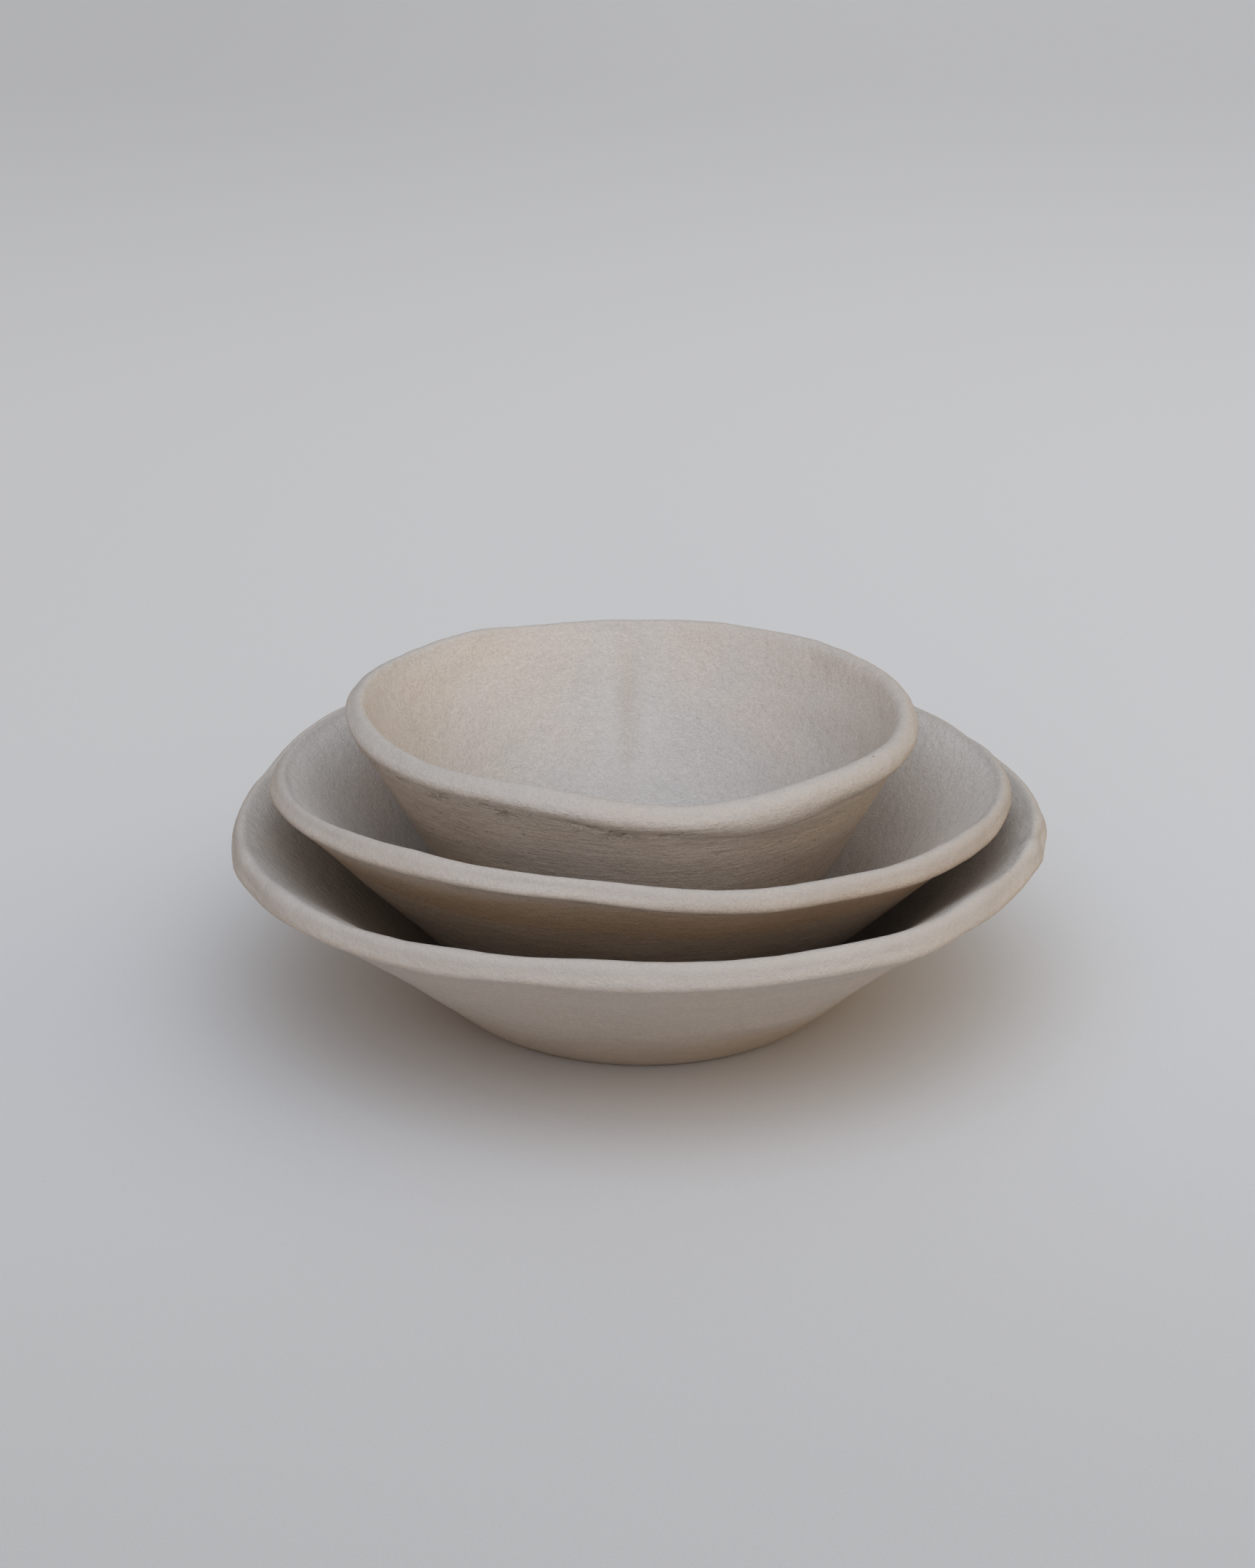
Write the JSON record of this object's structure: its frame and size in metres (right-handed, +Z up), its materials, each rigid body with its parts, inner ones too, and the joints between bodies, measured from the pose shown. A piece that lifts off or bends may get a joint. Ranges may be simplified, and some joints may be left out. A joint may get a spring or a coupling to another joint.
{
  "type": "nesting bowl set",
  "caption": "Nest of hand-built unglazed clay bowls with flat feet, flared walls and thick rolled lips; each smaller bowl lifts straight out of the one around it.",
  "frame": {"origin": "middle of the flat foot of the large bowl, on the surface that the nest stands on", "axes": "+Z up through the open tops of the bowls; +X to the right and +Y to the back, seen from the front, where the lips of the medium and the small bowl are lowest on the right"},
  "size_m": [0.2177, 0.2189, 0.086],
  "materials": {
    "large_clay": "dry unglazed clay, wiped smooth by hand",
    "medium_clay": "dry unglazed clay, wiped smooth by hand",
    "small_clay": "dry unglazed clay, wiped smooth by hand, scraped below the lip"
  },
  "bodies": {
    "large_bowl": {"large_bowl": "large_clay"},
    "medium_bowl": {"medium_bowl": "medium_clay"},
    "small_bowl": {"small_bowl": "small_clay"}
  },
  "joints": [
    {"name": "medium_lift", "type": "slide", "parent": "large_bowl", "child": "medium_bowl", "axis": [0, 0, 1], "range_m": [0, 0.065]},
    {"name": "small_lift", "type": "slide", "parent": "medium_bowl", "child": "small_bowl", "axis": [0, 0, 1], "range_m": [0, 0.07]}
  ]
}
